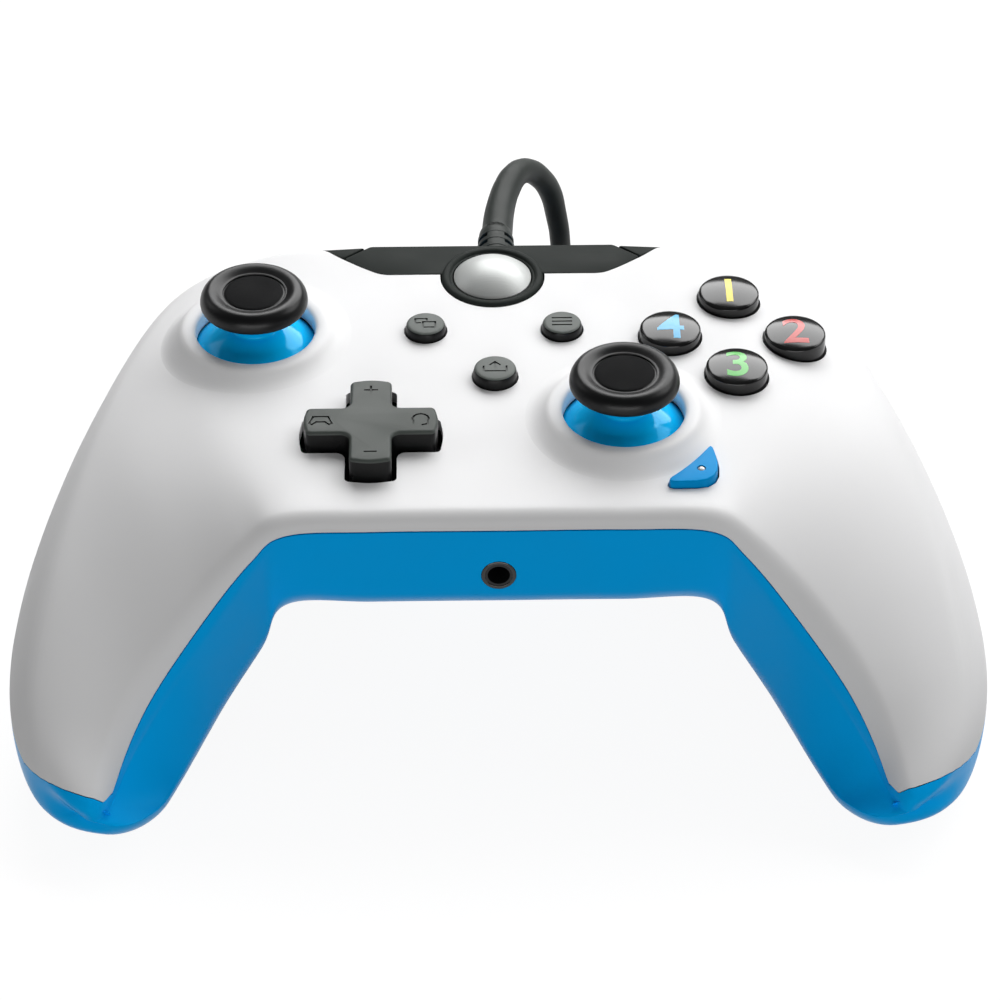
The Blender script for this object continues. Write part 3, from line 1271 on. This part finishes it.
@dataclass
class BackStrip:
    """Dark bridge with the ring and dome of the guide button, and the two bumpers."""

    form: BodyForm
    plan: Layout
    looks: Looks
    dome: float = 6.6
    dome_rise: float = 2.7
    dome_top: float = 3.2

    def build(self) -> None:
        """Make and deliver bridge, guide button and bumpers."""
        self._bridge()
        self._guide()
        for side, s in SIDES:
            self._bumper(side, s)

    def _bridge(self) -> None:
        """Saw the strip and turn the ring that sits on it."""
        plan = self.plan
        strip = Shop.plate("bridge_strip", plan.strip(), plan.bridge_low, plan.bridge_top)
        Shop.round_off(strip, 0.2, 2, 50)
        Shop.carve(strip, [Shop.rod("hole", plan.ring - 0.4, plan.face - 10, plan.face + 9, plan.guide)])
        z = plan.face
        ring = Shop.turned("guide_ring", shifted([
            (6.8, -2.6), (6.8, 0.25), (6.88, 0.44), (7.05, 0.52), (7.22, 0.5), (7.36, 0.74),
            (7.55, 0.88), (7.85, 0.95), (8.2, 0.91), (8.47, 0.78), (8.63, 0.55), (8.7, 0.25),
            (8.7, -2.6), (6.8, -2.6)], 0, z), plan.guide, steps=128)
        strip = Shop.joined([strip, ring])
        Shop.deliver(strip, self.looks["dark_plastic"], "shell", "dark_plastic", "bridge")

    def _guide(self) -> None:
        """Turn the bare dome of the guide button."""
        z, r = self.plan.face, self.dome
        ball = (r * r + self.dome_rise ** 2) / (2 * self.dome_rise)
        angles = np.linspace(0, math.asin(r / ball), 26)
        crown = [(ball * math.sin(a), z + self.dome_top - ball + ball * math.cos(a)) for a in angles]
        stem = [(r, -2.9), (7.7, -2.9), (7.7, -3.9), (2, -3.9), (2, -14.7), (0, -14.7)]
        dome = Shop.turned("guide_dome", crown + shifted(stem, 0, z), self.plan.guide, steps=128)
        Shop.deliver(dome, self.looks["guide_metal"], "guide_body", "guide_metal", "guide_button")

    def _bumper(self, side: str, s: int) -> None:
        """Form a bumper's band on the body's skin and set its wedge on it."""
        plan, form = self.plan, self.form
        band = Shop.sheet(f"{side}_bumper_band", rows=60, columns=12)
        t0, t1 = plan.bumper_t
        z0, z1 = plan.bumper_z

        def wrap(points: np.ndarray) -> np.ndarray:
            """Wrap the sheet round the back of the body."""
            out = []
            for x, y, _ in points * MM:
                t = t0 + (t1 - t0) * (x + 1) / 2
                z = z0 + (z1 - z0) * (y + 1) / 2
                spot = form.outer_point(t, z)
                away = np.array(form.back_line(t, 0.25)) - np.array(form.back_line(t, 0))
                out.append((s * (spot[0] + away[0]), spot[1] + away[1], z))
            return np.array(out)

        Shop.moved(band, wrap)
        Shop.tidy(band)
        far = max(band.data.polygons, key=lambda f: f.center.y)
        if far.normal.y < 0:
            Shop.flipped(band)
        Shop.applied(band, "SOLIDIFY", thickness=2.9 * MM, offset=-1, use_rim=True)
        end = plan.strip_half + 0.6
        Shop.carve(band, [Shop.block("inner", (-end, 30, 0), (end, 60, 90))])
        Shop.round_off(band, 0.35, 3, 50)
        corner, horn = plan.corner, plan.horn
        ring = [(plan.strip_half + 1, plan.strip_back), (corner[0] - 0.4, corner[1] + 0.75),
                (horn[0] - 1.9, horn[1] - 0.75)]
        wedge = Shop.plate("wedge", [(s * x, y) for x, y in ring], z1 - 1, plan.bridge_top - 0.3)
        Shop.round_off(wedge, 0.25, 3, 20)

        def slope(points: np.ndarray) -> np.ndarray:
            """Let the wedge's top fall towards its tip."""
            share = np.clip((np.abs(points[:, 0]) - 25) / 5, 0, 1) * (points[:, 2] > 46)
            return points - np.outer(share, (0, 0, 1.1))

        Shop.moved(wedge, slope)
        band = Shop.joined([band, wedge])
        Shop.deliver(band, self.looks["dark_plastic"], f"{side}_bumper_body", "dark_plastic",
                     f"{side}_bumper")


@dataclass
class Trigger:
    """Trigger with rounded edges that hangs on its pin."""

    side: str
    sign: int
    looks: Looks
    near: float = 25.5
    width: float = 22.0
    hinge: tuple[float, float] = (39.5, 31.2)
    outline: tuple = ((4.7, -0.4), (6.1, 2.2), (7.9, 3.2), (9.6, 2.8), (11, 0.7), (11.7, -2.8),
                      (11.6, -6.8), (11.1, -10.6), (11, -13.8), (11.7, -16.4), (11.6, -17.6),
                      (10.6, -18.1), (9.2, -17.3), (7.7, -14.8), (7.2, -11.2), (7.2, -7.2), (6.3, -4.2),
                      (3.9, -2.6))

    def build(self) -> None:
        """Make and deliver the trigger."""
        hy, hz = self.hinge
        x0, x1 = sorted((self.sign * self.near, self.sign * (self.near + self.width)))
        smooth = self._smooth(shifted(self.outline, hy, hz))
        blade = Shop.plate(f"{self.side}_trigger_blade", smooth, x0, x1, Axis.X)
        Shop.round_off(blade, 0.7, 4, 50)
        root = shifted([(0, -2.4), (0, 2.2), (5.9, 1.4), (4.9, -3)], hy, hz)
        web = Shop.plate("web", root, x0 + 0.3, x1 - 0.3, Axis.X)
        tube = [(1.25, x0), (2.7, x0), (2.7, x1), (1.25, x1), (1.25, x0)]
        boss = Shop.turned("boss", tube, (hy, hz), Axis.X, 48)
        blade = Shop.joined([blade, web, boss])
        mid = (x0 + x1) / 2
        room = Shop.block("spring_room", (mid - 4, hy - 4, hz - 5), (mid + 4, hy + 4.4, hz + 6))
        Shop.carve(blade, [room, Shop.rod("bore", 1.25, x0 - 1, x1 + 1, (hy, hz), Axis.X)])
        Shop.deliver(blade, self.looks["dark_plastic"], f"{self.side}_trigger_body", "dark_plastic",
                     f"{self.side}_trigger")

    @staticmethod
    def _smooth(ring: list[tuple[float, float]], steps: int = 4) -> list[tuple[float, float]]:
        """Run a soft closed line through corners."""
        p = np.array(ring)
        a, b, c, d = np.roll(p, 1, 0), p, np.roll(p, -1, 0), np.roll(p, -2, 0)
        parts = [flowing(a, b, c, d, q) for q in np.arange(steps) / steps]
        return [tuple(x) for x in np.stack(parts, 1).reshape(-1, 2)]


@dataclass
class FunctionKey:
    """Blue key by the right stick with its small light."""

    plan: Layout
    looks: Looks
    top: float = 0.2

    def build(self) -> None:
        """Make and deliver key and light."""
        z = self.plan.face + self.top
        at = (self.plan.right_stick[0] + 11.9, self.plan.right_stick[1] - 14.3)
        key = Shop.plate("function_key", self.plan.function(0), z - 4.5, z)
        Shop.round_off(key, 0.4, 4, 60)
        Shop.carve(key, [Shop.rod("seat", 0.72, z - 0.35, z + 1, at, steps=40)])
        Shop.deliver(key, self.looks["key_blue"], "function_body", "blue_plastic", "function_button")
        profile = [(0, 0.05), (0.3, 0.02), (0.45, -0.05), (0.55, -0.15), (0.56, -0.5), (0, -0.5)]
        light = Shop.turned("function_light", shifted(profile, 0, z), at, steps=40)
        Shop.deliver(light, self.looks["guide_metal"], "function_body", "guide_metal", "function_led")


@dataclass
class Cable:
    """Cable from the strain relief over the back edge to a tied hank, with its plug."""

    looks: Looks
    thick: float = 3.8
    outlet: tuple[float, float] = (1, 38.5)
    back: float = 48.5
    middle: float = 72.2
    run: float = 67.0
    inner: float = 11.4
    step: float = 5.0
    lift: float = 4.3
    turns: float = 1.5
    last: float = 1.0
    waist: float = 2.6
    hump: float = 1.05
    rings: int = 24
    swell: tuple = (1.46, 1.46, 1.46, 1.45, 1.42, 1.38, 1.33, 1.27, 1.2, 1.15, 1.11, 1.07, 1.03)
    plug_reach: float = 11.6
    plug_from: float = -19.5
    plug_z: float = 22.62
    free: tuple = ((1.15, 65, 38.5), (1.4, 69.5, 38.55), (1.75, 73.5, 38.65), (2.35, 77.3, 38.8),
                   (3.2, 81, 38.95), (4.9, 86, 38.7), (7.2, 90, 37), (9.6, 92.6, 33.8),
                   (11.6, 94.6, 29.2), (12.8, 96.4, 23), (13.6, 97.6, 17), (13.6, 98.6, 12), (12, 99.2, 8),
                   (8.6, 99.3, 5.2), (4, 98.8, 3.3), (-2, 97.6, 2.3), (-9, 95.8, 1.95), (-15, 93.4, 1.92),
                   (-20.5, 91.7, 1.92), (-25.9, 91.1, 1.92), (-29.7, 91.1, 1.92))

    @property
    def layer(self) -> float:
        """Height of the lowest turns' middle."""
        return self.thick / 2 + 0.02

    @staticmethod
    def _ease(q: float) -> float:
        """Soft step from nought to one."""
        c = max(0.0, min(1.0, q))
        return c * c * (3 - 2 * c)

    def _turn(self, u: float) -> tuple[float, float]:
        """Radius and height of the winding after so many turns."""
        size = self.turns + 0.5
        k = min(3, int(u / size))
        q = u - k * size
        wound = self.step * min(self.turns, q)
        r = self.inner + self.step * self.turns - wound if k % 2 == 0 else self.inner + wound
        up = self._ease((q - self.turns) / 0.5) if k < 3 else 0
        return r, self.layer + self.lift * (k + up)

    def _loop(self, q: float, r: float, z: float) -> tuple[float, float, float]:
        """Point of a loop: left end, near run, right end, far run."""
        h = self.run / 2
        f = q - math.floor(q)
        w = 4 * f - math.floor(4 * f)
        pull = self.waist * math.sin(math.pi * w) ** 2
        rise = self.hump * math.sin(math.pi * w) ** 2
        x = -h + self.run * w
        s, c = math.sin(math.pi * w), math.cos(math.pi * w)
        if f < 0.25:
            return -h - r * s, self.middle + r * c, z
        if f < 0.5:
            return x, self.middle - r + pull, z + rise
        if f < 0.75:
            return h + r * s, self.middle - r * c, z
        return -x, self.middle + r - pull, z + rise

    def route(self) -> list[tuple[float, float, float]]:
        """Points of the whole cable, from the shell to the plug, in millimetres."""
        x, z = self.outlet
        points = [(x, self.back, z), (x, self.back + 8.5, z)] + list(self.free)
        end = 3 * (self.turns + 0.5) + self.last
        count = round(self.rings * end) + 1
        points += [self._loop(i / self.rings, *self._turn(i / self.rings)) for i in range(count)]
        r0, z0 = self._turn(end)
        for i in range(1, 9):
            q = i / 8
            reach = r0 + (self.plug_reach - r0) * self._ease((q - 0.35) / 0.65)
            height = z0 + (self.plug_z - z0) * self._ease(q / 0.9)
            points.append(self._loop(min(0.2499, 0.25 * q), reach, height))
        y = self.middle - self.plug_reach
        return points + [(self.plug_from - self.thick, y, self.plug_z),
                         (self.plug_from + 1, y, self.plug_z)]

    def build(self) -> None:
        """Make and deliver the cable, strain relief, tie and plug."""
        Shop.rest()
        line = bpy.data.curves.new("cable", "CURVE")
        line.dimensions = "3D"
        line.bevel_depth = self.thick / 2 * MM
        line.bevel_resolution = 5
        line.resolution_u = 5
        line.use_fill_caps = True
        points = self.route()
        spline = line.splines.new("BEZIER")
        spline.bezier_points.add(len(points) - 1)
        for knot, spot in zip(spline.bezier_points, points):
            knot.co = Vector(spot) * MM
            knot.handle_left_type = "AUTO"
            knot.handle_right_type = "AUTO"
        for k, size in enumerate(self.swell):
            spline.bezier_points[k].radius = size
        cable = bpy.data.objects.new("cable", line)
        bpy.context.scene.collection.objects.link(cable)
        line.materials.append(self.looks["cable_rubber"])
        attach(cable, "shell")
        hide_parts("cable_run", "cable_hank")
        pieces = [self._relief(), self._tie(), self._plug(), self._tongue()]
        Axis.Y.spot(*self.outlet, self.back)

    def _relief(self) -> bpy.types.Object:
        """Turn the strain relief with its slots, left open on the two sides."""
        y = self.back
        end = y + 18.6
        root = [(0, -3.7), (4.4, -3.7), (4.4, -2.4), (3, -2.4), (3, 0.3), (3.45, 0.6), (3.6, 7.6)]
        rib = [(-0.8, -0.5), (-0.8, 0), (-0.12, 0.08), (0, 0.2), (0, 1.2), (-0.12, 1.32)]
        grooved = shifted(root, 0, y)
        plain = list(grooved)
        for i in range(4):
            grooved += shifted(rib, 3.6 - 0.13 * i, y + 8.4 + 2.3 * i)
        tip = [(3.05, y + 17.4), (2.95, y + 18.2), (2.82, end), (0, end)]
        plain += [(3.5, y + 8.4), (3.1, y + 16.8)] + tip
        body = Shop.turned("strain_relief", grooved + tip, self.outlet, Axis.Y, 64)
        spine = Shop.turned("spine", plain, self.outlet, Axis.Y, 64)
        x, z = self.outlet
        Shop.carve(spine, [Shop.block("keep", (x - 1.5, y - 5, z - 6), (x + 1.5, end + 2, z + 6))],
                   Cut.KEEP)
        relief = Shop.joined([body, spine])
        return Shop.deliver(relief, self.looks["cable_rubber"], "shell", "cable_rubber", "cable_gland")

    def _tie(self) -> bpy.types.Object:
        """Saw the flat tie round the hank's waist, with its buckle."""
        out = self.inner + self.step * self.turns
        y = out + self.thick / 2 - self.waist + 0.3
        z = self.layer + 3 * self.lift + self.thick / 2 + self.hump + 0.2

        def ring(grow: float, r: float) -> list[tuple[float, float]]:
            """Rounded frame round the hank, seen along it."""
            low, high = (self.middle - y - grow, 0.8 - grow), (self.middle + y + grow, z + grow)
            return rounded_box(low, high, r, 7)

        band = Shop.plate("cable_band", ring(0.8, 1.6), 3, 9, Axis.X)
        Shop.carve(band, [Shop.plate("room", ring(0, 0.8), 2, 10, Axis.X)])
        Shop.round_off(band, 0.2, 2, 60)
        return Shop.deliver(band, self.looks["black_matte"], "shell", "black_matte", "cable_tie")

    def _plug(self) -> bpy.types.Object:
        """Saw the plug's handle with rounded edges and grip grooves."""
        y, z, x0 = self.middle - self.plug_reach, self.plug_z, self.plug_from
        r, w, t = 1.6, 15.5 / 2, 7.6 / 2
        ring = rounded_box((y - w, z - t), (y + w, z + t), r, 8)
        grip = Shop.plate("plug_grip", ring, x0, x0 + 27, Axis.X)
        Shop.round_off(grip, 0.8, 4, 60)
        tools = [Shop.block("mouth", (x0 + 24, y - 6.05, z - 2.3), (x0 + 33, y + 6.05, z + 2.3))]
        for a in (x0 + 6, x0 + 9, x0 + 12, x0 + 15):
            for b in (z - t, z + t):
                tools.append(Shop.block("groove", (a, y - 9, b - 0.35), (a + 1, y + 9, b + 0.35)))
        Shop.carve(grip, tools)
        return Shop.deliver(grip, self.looks["cable_rubber"], "shell", "cable_rubber", "usb_plug")

    def _tongue(self) -> bpy.types.Object:
        """Fold the plug's metal shell round its tongue."""
        y, z, x0 = self.middle - self.plug_reach, self.plug_z, self.plug_from + 24
        frame = [(y - 6, z - 2.25), (y + 6, z - 2.25), (y + 6, z + 2.25), (y - 6, z + 2.25)]
        shell = Shop.plate("plug_shell", frame, x0, x0 + 17, Axis.X)
        Shop.round_off(shell, 0.35, 2, 60)
        tools = [Shop.block("mouth", (x0 + 3, y - 5.6, z - 1.85), (x0 + 20, y + 5.6, z + 1.85))]
        for a in (y - 2.9, y + 2.9):
            for b in (z - 2.25, z + 2.25):
                low, high = (x0 + 9.5, a - 1.15, b - 0.5), (x0 + 12, a + 1.15, b + 0.5)
                tools.append(Shop.block("window", low, high))
        Shop.carve(shell, tools)
        slab = shifted([(-5.4, -1.8), (5.4, -1.8), (5.4, 0), (-5.4, 0)], y, z)
        tongue = Shop.plate("tongue", slab, x0 + 2, x0 + 15.5, Axis.X)
        shell = Shop.joined([shell, tongue])
        return Shop.deliver(shell, self.looks["steel"], "shell", "steel", "usb_shell")


@dataclass
class AudioSocket:
    """Ring in the front wall round the audio socket's bore."""

    plan: Layout
    looks: Looks

    def build(self) -> None:
        """Turn and deliver the ring."""
        y = self.plan.bar
        ring = Shop.turned("socket_ring", shifted([
            (1.8, 4), (1.8, 0.45), (1.9, 0.3), (2.1, 0.2), (2.2, -0.02), (2.35, -0.12), (2.6, -0.12),
            (2.76, -0.02), (2.8, 0.2), (2.8, 4), (1.8, 4)], 0, y),
            (0, self.plan.jack_z), Axis.Y, 72)
        Shop.deliver(ring, self.looks["black_gloss"], "shell", "black_matte")


@dataclass(frozen=True)
class Panel:
    """Rectangular lamp that faces the pad: its place and size in metres and its power in watts."""

    name: str
    at: tuple[float, float, float]
    size: tuple[float, float]
    power: float

    def hang(self) -> None:
        """Put the lamp into the scene."""
        light = bpy.data.lights.new(self.name, "AREA")
        light.shape = "RECTANGLE"
        light.size, light.size_y = self.size
        light.energy = self.power
        lamp = bpy.data.objects.new(self.name, light)
        bpy.context.scene.collection.objects.link(lamp)
        way = Vector((0, 0, 0.03)) - Vector(self.at)
        turn = way.to_track_quat("-Z", "Y").to_matrix().to_4x4()
        lamp.matrix_world = Matrix.Translation(self.at) @ turn


@dataclass
class Studio:
    """Camera, floor and soft lights."""

    PANELS = (
        Panel("key", (0.22, 0.78, 0.7), (1.15, 0.75), 15.9),
        Panel("right", (0.9, 0.25, 0.65), (0.6, 0.6), 3.8),
        Panel("left", (-0.85, 0.45, 0.55), (0.5, 0.5), 1.0),
        Panel("front", (-0.05, -1.0, 0.17), (1.2, 0.28), 4.3),
    )

    azimuth: float = -1.0
    elevation: float = 38.5
    distance: float = 600.0
    target: tuple[float, float, float] = (0.25, -21, 48)
    lens: float = 135.864
    air: float = 0.12
    floor_grey: float = 0.12
    floor_glow: float = 0.93

    def camera(self) -> None:
        """Stand the camera where the photograph was taken from."""
        az, el = math.radians(self.azimuth), math.radians(self.elevation)
        ahead = Vector((-math.sin(az) * math.cos(el), math.cos(az) * math.cos(el), -math.sin(el)))
        right = Vector((math.cos(az), math.sin(az), 0))
        up = right.cross(ahead)
        eye = (Vector(self.target) - ahead * self.distance) * MM
        lens = bpy.data.cameras.new("camera")
        lens.sensor_width = 36
        lens.lens = self.lens
        lens.clip_start = 0.01
        camera = bpy.data.objects.new("camera", lens)
        bpy.context.scene.collection.objects.link(camera)
        turn = Matrix((right, up, -ahead)).transposed().to_4x4()
        camera.matrix_world = Matrix.Translation(eye) @ turn
        bpy.context.scene.camera = camera

    def lights(self) -> None:
        """Hang the panels: a broad one behind, one on each side, a low one in front."""
        for panel in self.PANELS:
            panel.hang()
        world = bpy.data.worlds.new("studio")
        bpy.context.scene.world = world
        world.use_nodes = True
        back = world.node_tree.nodes["Background"]
        back.inputs["Color"].default_value = (1, 1, 1, 1)
        back.inputs["Strength"].default_value = self.air
        bpy.context.scene.view_settings.view_transform = "Standard"

    @staticmethod
    def _seen(tree: bpy.types.NodeTree) -> bpy.types.NodeSocket:
        """One for rays from the camera, from gloss and through glass, else nought."""
        path = tree.nodes.new("ShaderNodeLightPath")
        total = path.outputs["Is Camera Ray"]
        for name in ("Is Glossy Ray", "Is Transmission Ray"):
            most = tree.nodes.new("ShaderNodeMath")
            most.operation = "MAXIMUM"
            tree.links.new(total, most.inputs[0])
            tree.links.new(path.outputs[name], most.inputs[1])
            total = most.outputs["Value"]
        return total

    def floor(self) -> None:
        """Lay the pale floor, white to the eye but with the pad's shadow."""
        Shop.rest()
        bpy.ops.mesh.primitive_plane_add(size=8, location=(0, 0, 0))
        floor = Shop.named("floor")
        look = bpy.data.materials.new("floor")
        look.use_nodes = True
        nodes, links = look.node_tree.nodes, look.node_tree.links
        shader = nodes["Principled BSDF"]
        shader.inputs["Base Color"].default_value = (self.floor_grey,) * 3 + (1,)
        shader.inputs["Roughness"].default_value = 0.9
        shader.inputs["Specular IOR Level"].default_value = 0.0
        shader.inputs["Emission Color"].default_value = (1, 1, 1, 1)
        level = nodes.new("ShaderNodeMath")
        level.operation = "MULTIPLY"
        level.inputs[1].default_value = self.floor_glow
        links.new(self._seen(look.node_tree), level.inputs[0])
        links.new(level.outputs["Value"], shader.inputs["Emission Strength"])
        floor.data.materials.append(look)
        Shop.rest()


def dress_solids(frame: dict, looks: Looks) -> None:
    """Give every solid that stays its node material, by the record's slots.

    Args:
        frame: The loaded frame.
        looks: The finishes.
    """
    for row in frame["record"]["subparts"]:
        solid = frame["nodes"].get(row["node"])
        if solid is not None:
            solid.data.materials.clear()
            solid.data.materials.append(looks[row["material_slot"]])


def main() -> None:
    """Load the frame, build each sub-assembly in order and note the sizes."""
    logging.basicConfig(level=logging.INFO, format="%(name)s %(relativeCreated)d ms: %(message)s")
    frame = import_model()
    studio = Studio()
    studio.camera()
    looks = Looks()
    dress_solids(frame, looks)
    Cable(looks).build()
    plan = Layout()
    form = BodyForm()
    Shells(form, plan, looks).build()
    for side, at in plan.sticks.items():
        Thumbstick(side, at, looks).build()
    PushButtons(plan, looks).build()
    CrossPad(plan, looks).build()
    BackStrip(form, plan, looks).build()
    for side, sign in SIDES:
        Trigger(side, sign, looks).build()
    FunctionKey(plan, looks).build()
    AudioSocket(plan, looks).build()
    studio.floor()
    studio.lights()


if __name__ == "__main__":
    main()
